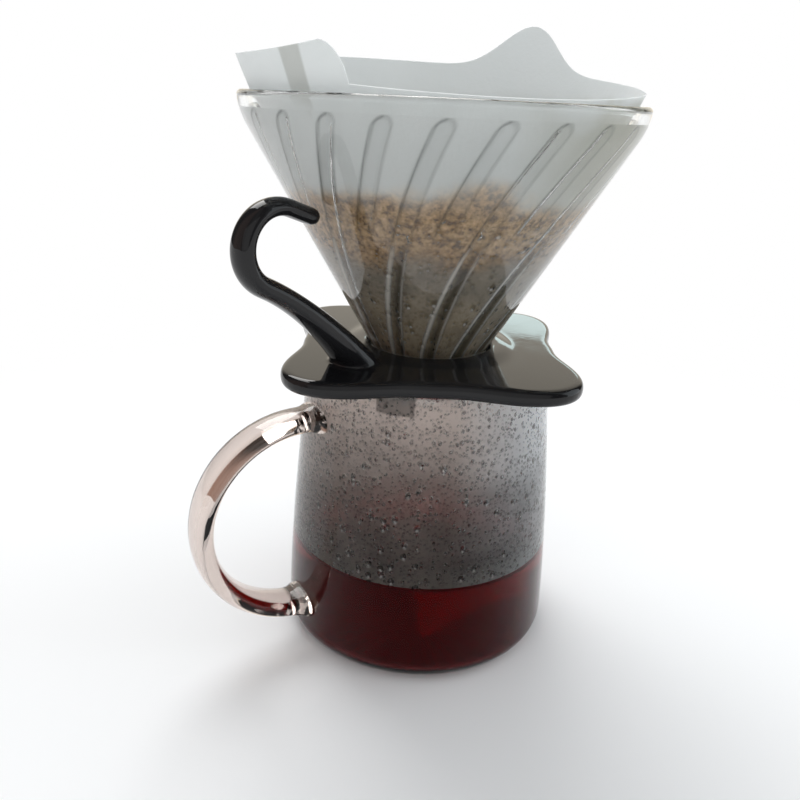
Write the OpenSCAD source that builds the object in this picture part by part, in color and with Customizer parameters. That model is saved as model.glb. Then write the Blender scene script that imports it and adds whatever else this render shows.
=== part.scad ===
// Glass coffee carafe with a glass cone dripper standing on its mouth.
// Millimetres, +Z up. The origin is the centre of the carafe's flat base.
// The carafe's handle points to -X and its pouring lip to +X.

/* [Carafe] */
// Height of the glass from base to rim
carafe_height = 92.6; // [80:0.2:120]
// Widest outside radius, just above the base
carafe_base_r = 44.3; // [41:0.1:54]
// Outside radius at the rim
carafe_mouth_r = 37.9; // [36:0.1:39]
// How late the wall starts to lean in: 1 is a straight cone
carafe_curve = 1.5; // [1:0.1:2.5]
// Thickness of the wall
carafe_wall = 2; // [1.4:0.1:3]
// Thickness of the floor
carafe_floor = 3; // [2:0.1:6]
// Outside radius of the rounded bottom edge
carafe_corner_r = 7; // [5:0.5:12]
// Radius of the pouring lip's channel
lip_r = 8; // [5:0.5:11]
// Lean of the pouring lip from upright
lip_lean = 40; // [25:1:50]
// Depth of the coffee over the floor
coffee_depth = 30.5; // [5:0.5:60]

/* [Carafe handle] */
// Width of the glass strap
strap_w = 12.5; // [8:0.5:16]
// Thickness of the glass strap
strap_t = 6.6; // [4:0.1:8]
// Height of the lower joint over the base
strap_low = 14.4; // [12:0.2:25]
// Drop of the upper joint below the rim
strap_drop = 14.4; // [11:0.2:25]
// Radius of the pad where the strap meets the wall
pad_r = 6.6; // [6:0.1:10]
// How far the pad stands off the wall
pad_depth = 2.5; // [1.5:0.5:6]

/* [Dripper cone] */
// Height of the cone from the foot plate to the rim
cone_rise = 72.2; // [66:0.2:90]
// Outside radius at the rim
cone_rim_r = 57.6; // [50:0.1:64]
// Radius of the bend from the cone to the upright rim
cone_bend_r = 18; // [8:1:24]
// Outside radius where the cone meets the foot plate
cone_foot_r = 18.7; // [18.2:0.1:19.5]
// Thickness of the glass
cone_wall = 2.6; // [2:0.1:3]
// Number of spiral ribs, every second one short
rib_count = 24; // [16:2:28]
// Width of a rib
rib_w = 5.2; // [3:0.1:6]
// How far a rib stands off the glass
rib_h = 1.6; // [0.8:0.1:2]
// Depth below the rim where the ribs start
rib_start = 4; // [3:0.5:10]
// Depth below the rim where the short ribs end
rib_short_end = 36; // [24:1:50]
// Turn of a rib from its top to the foot plate
rib_turn = 33; // [15:1:45]
// Outside radius of the neck
neck_r = 16.6; // [16.2:0.1:17]
// Radius of the outlet
outlet_r = 10.5; // [8:0.1:12]
// How far a lug stands off the neck
lug_h = 1.3; // [0.8:0.1:1.6]
// Height of a lug
lug_t = 2.5; // [1.5:0.1:4]
// Angle that a lug spans
lug_angle = 36; // [20:1:44]

/* [Dripper base] */
// Turn of the dripper against the carafe
dripper_turn = 15; // [-45:1:45]
// Thickness of the foot plate
plate_t = 4.8; // [3.6:0.1:7]
// Radius of the plate at its lobes
lobe_r = 55; // [50:0.5:64]
// Radius of the plate at its notches
notch_r = 39.8; // [38.4:0.2:47]
// How narrow the lobes are: 1 is an even wave
lobe_shape = 1.5; // [1:0.1:3]
// Radius of the plate's rounded edge
plate_edge_r = 1.7; // [0.5:0.1:1.8]
// Height of the collar over the plate
collar_h = 0.9; // [0.8:0.1:4]
// Thickness of the collar at its top
collar_t = 2.8; // [1.5:0.1:4]
// Radius of the sweep from the collar to the plate
collar_sweep_r = 4; // [2:0.5:8]
// Depth of the centring tabs
tab_depth = 7.5; // [4:0.5:12]
// Thickness of a centring tab
tab_t = 2.5; // [1.5:0.1:4]
// Angle that a centring tab spans
tab_angle = 19; // [10:1:40]
// Turn of the centring tabs against the lobes
tab_turn = 28; // [0:1:90]
// Gap between the hook's tip and the glass
hook_gap = 3.4; // [2:0.1:8]
// Height of the hook's centre over the plate
hook_z = 35.2; // [33:0.2:38]
// Radius of the hook's bend
hook_r = 10.4; // [9:0.1:14]
// Length of the hook's straight tip
hook_tip = 7; // [3:0.5:8]
// Width of the handle
grip_w = 8.4; // [6:0.1:12]
// Thickness of the handle
grip_t = 5.8; // [4:0.1:8]
// How much fuller the handle is at its root
grip_root = 1.9; // [1:0.1:2.2]
// Distance of the handle's root from the axis
grip_root_x = 30; // [29:0.5:33]

/* [Gasket and ring] */
// Thickness of the silicone gasket
gasket_t = 1.2; // [0.8:0.1:2]
// Depth that the glass shoulder sinks into the plate
shoulder_sink = 0.8; // [0.3:0.1:1.2]
// Thickness of the retaining ring
ring_t = 4; // [2.5:0.1:6]
// Outside radius of the retaining ring
ring_r = 23; // [21.5:0.1:27]
// Number of finger grooves round the ring
groove_count = 18; // [8:1:28]
// Radius of a finger groove
groove_r = 1.5; // [0.8:0.1:2]

/* [Filter and grounds] */
// Thickness of the paper
paper_t = 0.5; // [0.3:0.1:1]
// Height of the paper over the rim, on average
paper_rise = 6; // [3:0.5:12]
// How much higher the paper stands on one side than on the other
paper_tilt = 5.5; // [0:0.5:6]
// Height of the ear at the seam over the rest
seam_ear = 8.5; // [4:0.5:18]
// Height of the ear at the fold over the rest
fold_ear = 14; // [4:0.5:18]
// Radius of the paper's blunt tip
paper_tip_r = 4.5; // [2:0.1:8]
// Depth below the rim where the grounds reach up the paper
crust_depth = 33; // [20:1:40]
// Depth below the rim of the bed's middle
bed_depth = 52; // [45:1:65]
// Thickness of the crust of grounds on the paper
crust_t = 2.5; // [1:0.1:4]

/* [Fits] */
// Gap under a part that rests on another
seat_gap = 0.2; // [0.1:0.05:0.5]
// Gap round a part that fits in another
fit_gap = 0.3; // [0.2:0.05:0.5]
// Gap round a filling
fill_gap = 0.1; // [0.05:0.05:0.3]
// Gap between the centring tabs and the carafe's mouth
tab_gap = 1; // [0.5:0.1:2]
// Gap between the paper and the glass that holds it
paper_gap = 0.4; // [0.3:0.1:1]

/* [Hidden] */
$fn = 96;
arc_steps = 6;
wall_steps = 12;
overlap = 1;

// Heights of the stack, from the carafe's rim up
plate_z = carafe_height + seat_gap;
plate_top = plate_z + plate_t;
rim_z = plate_top + cone_rise;
shoulder_z = plate_top - shoulder_sink;
gasket_z = shoulder_z - gasket_t;
ring_z = plate_z - seat_gap - ring_t;
lug_z = ring_z - fit_gap - lug_t;
neck_end_z = lug_z - overlap;

// Points of an arc round a centre, from one angle to another
function arc(centre, r, from, to) =
    [for (i = [0:arc_steps]) let (a = from + (to - from) * i / arc_steps) centre + r * [cos(a), sin(a)]];

// Closed solid through a stack of rings that have the same number of points
module loft(rings) {
    n = len(rings[0]);
    last = (len(rings) - 1) * n;
    sides = [for (j = [0:n:last - n], i = [0:n - 1])
        let (a = j + i, b = j + (i + 1) % n) each [[a, b + n, b], [a, a + n, b + n]]];
    bottom = [for (i = [0:n - 1]) i];
    top = [for (i = [n - 1:-1:0]) last + i];
    polyhedron([for (ring = rings) each ring], concat([bottom], sides, [top]));
}

// Ring sector with a square section, centred on an angle
module sector(r_in, r_out, z, h, middle, span) {
    translate([0, 0, z])
        rotate([0, 0, middle - span / 2])
            rotate_extrude(angle = span)
                translate([r_in, 0])
                    square([r_out - r_in, h]);
}

// Carafe

// Outside radius of the carafe's wall at a height
function carafe_r(z) =
    let (t = (z - carafe_corner_r) / (carafe_height - carafe_corner_r))
    carafe_base_r - (carafe_base_r - carafe_mouth_r) * pow(max(0, t), carafe_curve);

// Half outline of the space inside a skin that lies a distance within the carafe's outside
function carafe_outline(inset, floor_z, top_z) =
    let (r = carafe_corner_r - inset, low = max(carafe_corner_r, floor_z + r))
    concat(
        [[0, floor_z]],
        arc([carafe_base_r - carafe_corner_r, floor_z + r], r, -90, 0),
        [for (i = [1:wall_steps]) let (z = low + (top_z - low) * i / wall_steps) [carafe_r(z) - inset, z]],
        [[0, top_z]]);

module carafe_outside() {
    rotate_extrude() polygon(carafe_outline(0, 0, carafe_height - carafe_wall / 2));
}

module carafe_inside() {
    rotate_extrude() polygon(carafe_outline(carafe_wall, carafe_floor, carafe_height + overlap));
}

// Leaning channel of the pouring lip, or its outside with the wall added
module lip_channel(wall) {
    length = carafe_height / 3;
    root = [carafe_mouth_r - carafe_wall - length * sin(lip_lean) / 2, 0, carafe_height - length / 2];
    translate(root)
        rotate([0, lip_lean, 0])
            cylinder(h = length, r1 = lip_r / 2 + wall, r2 = lip_r + wall);
}

module carafe_body() {
    color([0.86, 0.92, 0.94, 0.35])
    difference() {
        union() {
            carafe_outside();
            translate([0, 0, carafe_height - carafe_wall / 2])
                rotate_extrude()
                    translate([carafe_mouth_r - carafe_wall / 2, 0])
                        circle(d = carafe_wall);
            difference() {
                lip_channel(carafe_wall);
                translate([-2 * carafe_base_r, -2 * carafe_base_r, carafe_height - carafe_wall / 2])
                    cube(4 * carafe_base_r);
            }
        }
        carafe_inside();
        lip_channel(0);
    }
}

// Flat section of the strap with round edges
module strap_section() {
    square([strap_t, strap_w - strap_t], center = true);
    for (side = [-1, 1])
        translate([0, side * (strap_w - strap_t) / 2])
            circle(d = strap_t);
}

// Straight end of the strap with its pad, from the bend into the wall
module strap_end(x, z) {
    length = x + strap_t;
    wall_x = carafe_r(z);
    translate([-x, 0, z])
        rotate([0, 90, 0])
            linear_extrude(height = length)
                strap_section();
    translate([-wall_x - pad_depth, 0, z])
        rotate([0, 90, 0])
            cylinder(h = 2 * pad_depth, r1 = strap_t / 2, r2 = 2 * pad_r - strap_t / 2);
}

module carafe_handle() {
    high = carafe_height - strap_drop;
    bend_r = (high - strap_low) / 2;
    bend_x = carafe_r(strap_low);
    color([0.80, 0.78, 0.76, 0.45])
    difference() {
        union() {
            translate([-bend_x, 0, strap_low + bend_r])
                rotate([90, 0, 0])
                    rotate([0, 0, 90])
                        rotate_extrude(angle = 180)
                            translate([bend_r, 0])
                                strap_section();
            strap_end(bend_x, high);
            strap_end(bend_x, strap_low);
        }
        carafe_outside();
    }
}

module brewed_coffee() {
    color([0.25, 0.03, 0.02])
    rotate_extrude()
        polygon(carafe_outline(carafe_wall + fill_gap, carafe_floor + fill_gap, carafe_floor + coffee_depth));
}

// Dripper cone

// Half angle of the cone: its flank runs from the foot into the bend without a kink
bend_off = [cone_rim_r - cone_bend_r - cone_foot_r, cone_rise];
cone_angle = atan(bend_off.x / bend_off.y) + asin(cone_bend_r / norm(bend_off));

// Straight flank of the cone, carried on past its bend: outside radius at a depth below the rim
function flank_r(d) =
    cone_rim_r - cone_bend_r * (1 - cos(cone_angle)) - (d - cone_bend_r * sin(cone_angle)) * tan(cone_angle);

// Inside radius of the glass between the ribs, at a depth below the rim
function glass_r(d) =
    let (r = cone_bend_r - cone_wall)
    d < r * sin(cone_angle)
        ? cone_rim_r - cone_bend_r + sqrt(r * r - d * d)
        : max(outlet_r, flank_r(d) - cone_wall / cos(cone_angle));

// Depth below the rim where the inside of the cone has narrowed to the outlet
outlet_depth = cone_bend_r * sin(cone_angle)
    + (flank_r(cone_bend_r * sin(cone_angle)) - cone_wall / cos(cone_angle) - outlet_r) / tan(cone_angle);
neck_end_depth = rim_z - neck_end_z;
shoulder_r = flank_r(rim_z - shoulder_z);
bead_r = cone_wall / 2;

// Height of a rib over the glass: round at its top, run out at its lower end
rib_round = rib_w;
rib_long_end = outlet_depth - rib_round / 2;
function rib_end(k) = k % 2 == 0 ? rib_long_end : rib_short_end;
function rib_full(d, k) =
    let (up = (d - rib_start) / rib_round, down = (rib_end(k) - d) / rib_round)
    sqrt(max(0, 1 - pow(1 - min(1, max(0, up)), 2))) * min(1, max(0, down));
rib_pitch = 360 / rib_count;
rib_phase = 13.7;
rib_points = [-1, -0.5, 0, 0.5, 1];
rib_crowding = 0.92;
function rib_half_angle(d) = min(rib_pitch * rib_crowding, rib_w / glass_r(d) * 180 / PI) / 2;

// One ring of the hollow inside the cone, drawn in where it crosses a rib
function hollow_ring(d) =
    let (turned = rib_turn * (d - rib_start) / (cone_rise - rib_start), half = rib_half_angle(d))
    [for (k = [0:rib_count - 1], s = rib_points)
        let (a = rib_phase + k * rib_pitch - turned + s * half,
            r = glass_r(max(d, bead_r)) - overlap / 20 - rib_h * rib_full(d, k) * (1 - s * s))
        [r * cos(a), r * sin(a), rim_z - d]];

// Depths of the rings: close together over the round tops of the ribs
hollow_steps = 12;
hollow_depths = concat(
    [neck_end_depth + overlap],
    [for (i = [0:hollow_steps]) outlet_depth + (rib_start + rib_round - outlet_depth) * i / hollow_steps],
    [for (t = [0.5, 0.2, 0.05, 0]) rib_start + rib_round * t],
    [bead_r * 0.7]);

// Half outline of the cone's outside, closed just under the round bead of the rim
cone_outline = concat(
    [[0, neck_end_z], [neck_r, neck_end_z], [neck_r, shoulder_z], [shoulder_r, shoulder_z]],
    [for (p = arc([cone_rim_r - cone_bend_r, rim_z], cone_bend_r, -cone_angle, 0)) if (p.y < rim_z - bead_r) p],
    arc([cone_rim_r - bead_r, rim_z - bead_r], bead_r, 0, 180),
    [[0, rim_z - bead_r]]);

module dripper_cone() {
    color([0.86, 0.92, 0.94, 0.4])
    rotate([0, 0, dripper_turn])
    difference() {
        union() {
            rotate_extrude() polygon(cone_outline);
            for (a = [0, 120, 240])
                sector(neck_r - overlap, neck_r + lug_h, lug_z, lug_t, a, lug_angle);
        }
        loft([for (d = hollow_depths) hollow_ring(d)]);
    }
}

// Dripper base

seat_r = flank_r(cone_rise) + fit_gap;
collar_top_r = flank_r(cone_rise - collar_h) + fit_gap;
key_angle = lug_angle + 8;
tab_r = carafe_mouth_r - carafe_wall - tab_gap;

// Radius of the lobed plate at an angle: a wave with its crests at the lobes
lobe_count = 4;
lobe_pitch = 360 / lobe_count;
function plate_r(a) = notch_r + (lobe_r - notch_r) * pow((1 + cos(lobe_count * a)) / 2, lobe_shape);

plate_points = 96;
function plate_ring(inset, z) =
    [for (i = [0:plate_points - 1])
        let (a = i * 360 / plate_points, r = plate_r(a) - inset) [r * cos(a), r * sin(a), z]];

module foot_plate() {
    edge = concat(
        arc([0, plate_z + plate_edge_r], plate_edge_r, -90, 0),
        arc([0, plate_top - plate_edge_r], plate_edge_r, 0, 90));
    loft([for (p = edge) plate_ring(plate_edge_r - p.x, p.y)]);
}

module collar() {
    outer = collar_top_r + collar_t;
    sweep = arc([outer + collar_sweep_r, plate_top + collar_h], collar_sweep_r, 180, 270);
    rotate_extrude()
        polygon(concat(
            [[seat_r - overlap, plate_z + plate_t / 4], [seat_r - overlap, plate_top + collar_h]],
            [for (p = sweep) if (p.y > plate_top - plate_t / 4) p],
            [[outer + collar_sweep_r / 2, plate_z + plate_t / 4]]));
}

// Handle: a curved arm that rises from the plate, a round hook and a straight tip, in the plane of X and Z
hook_from = -64;
hook_to = 110;
arm_steps = 12;
hook_steps = 16;
tip_taper = 0.8;
tip_way = [-sin(hook_to), cos(hook_to)];
tip_off = hook_r * [cos(hook_to), sin(hook_to)] + (hook_tip + grip_t / 2 * tip_taper) * tip_way;
hook_x = flank_r(cone_rise - hook_z - tip_off.y) + hook_gap - tip_off.x;
hook_c = [hook_x, hook_z];
arm_end = hook_c + hook_r * [cos(hook_from), sin(hook_from)];
arm_end_reach = 1.2 * hook_r;
arm_end_pull = arm_end - arm_end_reach * [-sin(hook_from), cos(hook_from)];
arm_root = [grip_root_x, -plate_t / 2];
arm_root_share = 0.3;
arm_lift = [-2, 2];
arm_root_pull = arm_root + (arm_end - arm_root) * arm_root_share + arm_lift;
function bezier(t) =
    pow(1 - t, 3) * arm_root + 3 * t * pow(1 - t, 2) * arm_root_pull
    + 3 * t * t * (1 - t) * arm_end_pull + pow(t, 3) * arm_end;
function bezier_slope(t) =
    3 * pow(1 - t, 2) * (arm_root_pull - arm_root) + 6 * t * (1 - t) * (arm_end_pull - arm_root_pull)
    + 3 * t * t * (arm_end - arm_end_pull);
tip_start = hook_c + hook_r * [cos(hook_to), sin(hook_to)];

// Stations along the handle: place, direction, and fullness against the plain section
grip_stations = concat(
    [for (i = [0:arm_steps - 1]) let (t = i / arm_steps)
        [bezier(t), bezier_slope(t) / norm(bezier_slope(t)), 1 + (grip_root - 1) * pow(1 - t, 2)]],
    [for (i = [0:hook_steps]) let (a = hook_from + (hook_to - hook_from) * i / hook_steps)
        [hook_c + hook_r * [cos(a), sin(a)], [-sin(a), cos(a)], 1 - (1 - tip_taper) * i / hook_steps]],
    [[tip_start + hook_tip * tip_way, tip_way, tip_taper]],
    [for (a = [30, 55, 75, 88])
        [tip_start + (hook_tip + grip_t / 2 * tip_taper * sin(a)) * tip_way, tip_way, tip_taper * cos(a)]]);

grip_sides = 20;
function grip_ring(station) =
    let (p = station[0], way = station[1], full = station[2])
    [for (i = [0:grip_sides - 1])
        let (a = i * 360 / grip_sides, out = grip_t / 2 * full * cos(a), across = -grip_w / 2 * full * sin(a),
            q = p + out * [way.y, -way.x])
        [-q.x, across, plate_top + q.y]];

module hook_handle() {
    difference() {
        loft([for (station = grip_stations) grip_ring(station)]);
        translate([-2 * hook_x, -hook_x, plate_top - plate_t / 3 - 2 * hook_x])
            cube(2 * hook_x);
    }
}

// Opening for the cone: a seat for its shoulder, a bore for its neck and ways for its lugs
module cone_seat() {
    high = collar_h + overlap;
    rotate_extrude()
        polygon([
            [0, gasket_z], [seat_r, gasket_z], [seat_r, plate_top],
            [flank_r(cone_rise - high) + fit_gap, plate_top + high], [0, plate_top + high]]);
    translate([0, 0, plate_z - overlap])
        cylinder(h = plate_t + overlap, r = neck_r + fit_gap);
    for (a = [0, 120, 240])
        sector(neck_r - overlap, neck_r + lug_h + fit_gap, plate_z - overlap, plate_t, a, key_angle);
}

module dripper_base() {
    color([0.05, 0.05, 0.055])
    rotate([0, 0, dripper_turn])
    difference() {
        union() {
            foot_plate();
            collar();
            hook_handle();
            for (k = [0:lobe_count - 1])
                sector(tab_r - tab_t, tab_r, plate_z - tab_depth, tab_depth + plate_t / 8,
                    tab_turn + k * lobe_pitch, tab_angle);
        }
        cone_seat();
    }
}

// Gasket and ring

module cone_gasket() {
    color([0.75, 0.75, 0.75])
    translate([0, 0, gasket_z])
        rotate_extrude()
            translate([neck_r + fill_gap, 0])
                square([shoulder_r - neck_r - fill_gap, gasket_t]);
}

module retaining_ring() {
    color([0.09, 0.09, 0.10])
    rotate([0, 0, dripper_turn])
    difference() {
        translate([0, 0, ring_z])
            cylinder(h = ring_t, r = ring_r);
        translate([0, 0, ring_z - overlap])
            cylinder(h = ring_t + 2 * overlap, r = neck_r + fit_gap);
        for (a = [60, 180, 300])
            sector(neck_r - overlap, neck_r + lug_h + fit_gap, ring_z - overlap, ring_t + 2 * overlap, a, key_angle);
        for (i = [0:groove_count - 1])
            rotate([0, 0, i * 360 / groove_count])
                translate([ring_r + groove_r / 3, 0, ring_z - overlap])
                    cylinder(h = ring_t + 2 * overlap, r = groove_r);
    }
}

// Filter and grounds

// Outside of the paper: a cone that passes inside the rim and lies on the ribs at the plate
paper_rim_r = cone_rim_r - cone_wall - 2 * paper_gap;
paper_low_r = flank_r(cone_rise) - (cone_wall + rib_h) / cos(cone_angle) - paper_gap;
paper_slope = (paper_rim_r - paper_low_r) / cone_rise;
paper_depth = (paper_rim_r - paper_tip_r) / paper_slope;
paper_flare = 0.42;
function paper_r(d) = paper_rim_r - d * (d > 0 ? paper_slope : paper_flare);

// Height of the paper's top edge over the rim: tilted, with an ear at the seam and one at the fold
tilt_angle = 75;
seam_angle = 208;
seam_before = 36;
seam_after = 4;
fold_angle = 29;
fold_half = 13;
function bump(off, half) = exp(-pow(off / half, 2));
function wrap(a) = a > 180 ? a - 360 : (a < -180 ? a + 360 : a);
function paper_top(a) =
    let (s = wrap(a - seam_angle), f = wrap(a - fold_angle))
    paper_rise + paper_tilt * cos(a - tilt_angle)
    + seam_ear * (s < 0 ? exp(s / seam_before) : bump(s, seam_after)) + fold_ear * bump(f, fold_half);

paper_points = 120;
paper_steps = 5;
function paper_ring(inset, depth, share) =
    [for (i = [0:paper_points - 1])
        let (a = i * 360 / paper_points, d = depth * (1 - share) - paper_top(a) * share, r = paper_r(d) - inset)
        [r * cos(a), r * sin(a), rim_z - d]];

module paper_filter() {
    outside = concat(
        [paper_ring(0, paper_depth, 0)],
        [for (i = [0:paper_steps]) paper_ring(0, 0, i / paper_steps)]);
    inside = concat(
        [for (i = [paper_steps:-1:0]) paper_ring(paper_t, 0, i / paper_steps)],
        [paper_ring(paper_t, paper_depth - paper_t, 0)]);
    color([0.88, 0.87, 0.84])
    loft(concat(outside, inside));
}

// Share of the bed's dip that the crust on the paper makes up
crust_share = 0.6;

module coffee_bed() {
    inset = paper_t + fill_gap;
    tip = paper_depth - paper_t - fill_gap;
    wall = crust_depth + (bed_depth - crust_depth) * crust_share;
    color([0.28, 0.17, 0.09])
    rotate_extrude()
        polygon([
            [0, rim_z - tip],
            [paper_r(tip) - inset, rim_z - tip],
            [paper_r(crust_depth) - inset, rim_z - crust_depth],
            [paper_r(wall) - inset - crust_t, rim_z - wall],
            [paper_r(wall) / 2, rim_z - (wall + bed_depth) / 2],
            [0, rim_z - bed_depth]]);
}

carafe_body();
carafe_handle();
brewed_coffee();
dripper_cone();
dripper_base();
cone_gasket();
retaining_ring();
paper_filter();
coffee_bed();
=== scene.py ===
# %% [markdown]
# # A glass coffee carafe with a cone dripper
# The real thing is lab-like glassware: a blown carafe with a fused handle, a pressed glass cone on a moulded black
# foot, a paper filter and wet grounds. Glass shows every facet of a mesh, so every piece gets a fine, smooth skin of
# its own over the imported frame, which says where everything is and what moves with what.

from math import asin, atan, atan2, cos, degrees, exp, hypot, pi, radians, sin, sqrt, tan

import bmesh
import bpy
from mathutils import Matrix, Vector, noise


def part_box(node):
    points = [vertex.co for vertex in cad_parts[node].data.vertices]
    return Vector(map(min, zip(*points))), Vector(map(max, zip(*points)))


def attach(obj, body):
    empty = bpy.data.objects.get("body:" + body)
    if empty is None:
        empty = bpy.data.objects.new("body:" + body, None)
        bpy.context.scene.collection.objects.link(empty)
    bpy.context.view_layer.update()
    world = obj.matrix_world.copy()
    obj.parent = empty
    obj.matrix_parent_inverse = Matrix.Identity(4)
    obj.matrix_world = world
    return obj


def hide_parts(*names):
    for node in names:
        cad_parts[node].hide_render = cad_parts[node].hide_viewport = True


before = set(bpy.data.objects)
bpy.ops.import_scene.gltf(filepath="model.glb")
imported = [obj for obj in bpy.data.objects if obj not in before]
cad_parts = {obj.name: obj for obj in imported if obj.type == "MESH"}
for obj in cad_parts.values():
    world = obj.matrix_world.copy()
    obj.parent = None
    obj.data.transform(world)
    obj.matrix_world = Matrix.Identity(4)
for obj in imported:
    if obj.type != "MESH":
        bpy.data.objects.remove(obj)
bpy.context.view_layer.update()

# %% [markdown]
# ## Two ways to make a skin
# Round glassware comes from a lathe: an outline is drawn beside the axis and spun once round. Bent bars come from a
# sweep: a ring is extruded again and again, and each new ring is put where the bar goes next. All sizes are written
# in millimetres, as on a drawing, and turned into metres when a point is placed.

# %% Lathe and sweep
MM, WELD = 0.001, 0.001


def pick(*pieces):
    """Selects these pieces alone. The last one is the active one."""
    bpy.ops.object.select_all(action="DESELECT")
    for piece in pieces:
        piece.select_set(True)
        bpy.context.view_layer.objects.active = piece


def start_piece(name, points):
    """Adds a circle with one corner for each point of an outline, and puts the corners on the points."""
    pick()
    bpy.ops.mesh.primitive_circle_add(vertices=len(points), radius=MM)
    piece = bpy.context.object
    piece.name = piece.data.name = name
    for corner, point in zip(piece.data.vertices, points):
        corner.co = Vector(point) * MM
    return piece


def close_skin(piece):
    """Merges what lies on the same spot, turns the faces outwards and shades the piece smooth."""
    bpy.ops.object.mode_set(mode="EDIT")
    bpy.ops.mesh.select_all(action="SELECT")
    bpy.ops.mesh.remove_doubles(threshold=WELD * MM)
    bpy.ops.mesh.normals_make_consistent(inside=False)
    bpy.ops.object.mode_set(mode="OBJECT")
    bpy.ops.object.shade_smooth()
    print(piece.name, len(piece.data.polygons), "faces")
    return piece


def lathe(name, outline, steps, closed=True):
    """Spins an outline of (radius, height) points round the Z axis. An edge along the axis is left out."""
    piece = start_piece(name, [(r, 0, z) for r, z in outline])
    bpy.ops.object.mode_set(mode="EDIT")
    bpy.ops.mesh.select_all(action="DESELECT")
    drawn = bmesh.from_edit_mesh(piece.data)
    last = len(outline) - 1
    for edge in drawn.edges:
        ends = {v.index for v in edge.verts}
        edge.select = ends == {0, last} and (not closed or outline[0][0] == outline[last][0] == 0)
    bmesh.update_edit_mesh(piece.data)
    bpy.ops.mesh.delete(type="EDGE")
    bpy.ops.mesh.select_all(action="SELECT")
    bpy.ops.mesh.spin(steps=steps, angle=2 * pi, center=(0, 0, 0), axis=(0, 0, 1))
    bpy.ops.object.mode_set(mode="OBJECT")
    return close_skin(piece)


def sweep(name, rings):
    """Extrudes a ring from place to place and caps both ends."""
    piece = start_piece(name, rings[0])
    bpy.ops.object.mode_set(mode="EDIT")
    bpy.ops.mesh.select_all(action="SELECT")
    bpy.ops.mesh.edge_face_add()
    for ring in rings[1:]:
        bpy.ops.mesh.extrude_region_move()
        drawn = bmesh.from_edit_mesh(piece.data)
        for corner, point in zip([v for v in drawn.verts if v.select], ring):
            corner.co = Vector(point) * MM
        bmesh.update_edit_mesh(piece.data)
    bpy.ops.object.mode_set(mode="OBJECT")
    return close_skin(piece)


def arc(centre_r, centre_z, radius, start, end, steps):
    """Points of an arc from one angle to another, both in degrees."""
    turn = [radians(start + (end - start) * i / steps) for i in range(steps + 1)]
    return [(centre_r + radius * cos(a), centre_z + radius * sin(a)) for a in turn]


def between(low, high, steps):
    """Evenly spaced values with both ends."""
    return [low + (high - low) * i / steps for i in range(steps + 1)]


def smooth_step(x):
    """Soft rise from 0 to 1."""
    x = min(1, max(0, x))
    return x * x * (3 - 2 * x)


def node_box(name):
    """Lowest and highest corner of a solid of the frame, in millimetres."""
    low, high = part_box(name)
    return low / MM, high / MM


def settle(piece, body, slot, *nodes):
    """Lets a finished piece ride on its body in place of its solids."""
    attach(piece, body)
    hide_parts(*nodes)


# %% [markdown]
# ## Nodes in few words
# Every finish below is a node tree on Object coordinates. These helpers add a node, set its plain inputs and join it
# to what it reads, so that a finish reads like its recipe.

# %% Helpers for node trees
def new_finish(name):
    """An empty finish: its tree, its shader and a node with the place on the piece."""
    finish = bpy.data.materials.new(name)
    finish.use_nodes = True
    tree = finish.node_tree
    return finish, tree, tree.nodes["Principled BSDF"], tree.nodes.new("ShaderNodeTexCoord").outputs["Object"]


def plug(tree, socket, value):
    if isinstance(value, bpy.types.NodeSocket):
        tree.links.new(value, socket)
    else:
        socket.default_value = value


def add_node(tree, kind, settings=None, **inputs):
    """Adds a node. An input is a plain value or the output of another node; its name uses _ for a space."""
    node = tree.nodes.new("ShaderNode" + kind)
    for key, value in (settings or {}).items():
        setattr(node, key, value)
    for key, value in inputs.items():
        name = int(key[1:]) if key[1:].isdigit() else key.replace("_", " ")
        plug(tree, node.inputs[name], value)
    return node


def ramp(tree, fac, stops):
    """Colour ramp from (place, colour) stops; a colour is a grey level or three numbers."""
    node = add_node(tree, "ValToRGB", Fac=fac)
    band = node.color_ramp
    while len(band.elements) < len(stops):
        band.elements.new(0.5)
    for element, (place, colour) in zip(band.elements, stops):
        grey = isinstance(colour, (int, float))
        element.position = place
        element.color = (colour, colour, colour, 1) if grey else (*colour, 1)
    return node.outputs["Color"]


def math_node(tree, operation, a, b=0.0, clamp=False):
    return add_node(tree, "Math", {"operation": operation, "use_clamp": clamp}, _0=a, _1=b).outputs["Value"]


def minus(tree, a, b):
    return math_node(tree, "SUBTRACT", a, b)


def times(tree, a, b):
    return math_node(tree, "MULTIPLY", a, b)


def mix_colour(tree, factor, a, b, blend="MIX"):
    node = add_node(tree, "Mix", {"data_type": "RGBA", "blend_type": blend}, _0=factor, _6=a, _7=b)
    return node.outputs[2]


def toned(tree, colour, tone):
    return mix_colour(tree, 1.0, colour, tone, "MULTIPLY")


def noise_value(tree, place, scale, detail=3.0, roughness=0.5):
    return add_node(tree, "TexNoise", Vector=place, Scale=scale, Detail=detail, Roughness=roughness).outputs["Fac"]


def bumps(tree, height, strength, depth):
    """Surface direction over bumps of a depth in mm."""
    return add_node(tree, "Bump", Height=height, Strength=strength, Distance=depth * MM).outputs["Normal"]


def set_inputs(shader, **inputs):
    for key, value in inputs.items():
        plug(shader.id_data, shader.inputs[key.replace("_", " ")], value)


def give(piece, *finishes):
    piece.data.materials.clear()
    for finish in finishes:
        piece.data.materials.append(finish)
    print(piece.name, "wears", [finish.name for finish in finishes])


# %% [markdown]
# ## The carafe's glass
# The carafe is blown: an even wall, a round bottom edge and a fire-polished rim. A cylinder with a scaled top and a
# thickness could do it, but a spun outline sets wall, floor and rim each to its own size.

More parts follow.
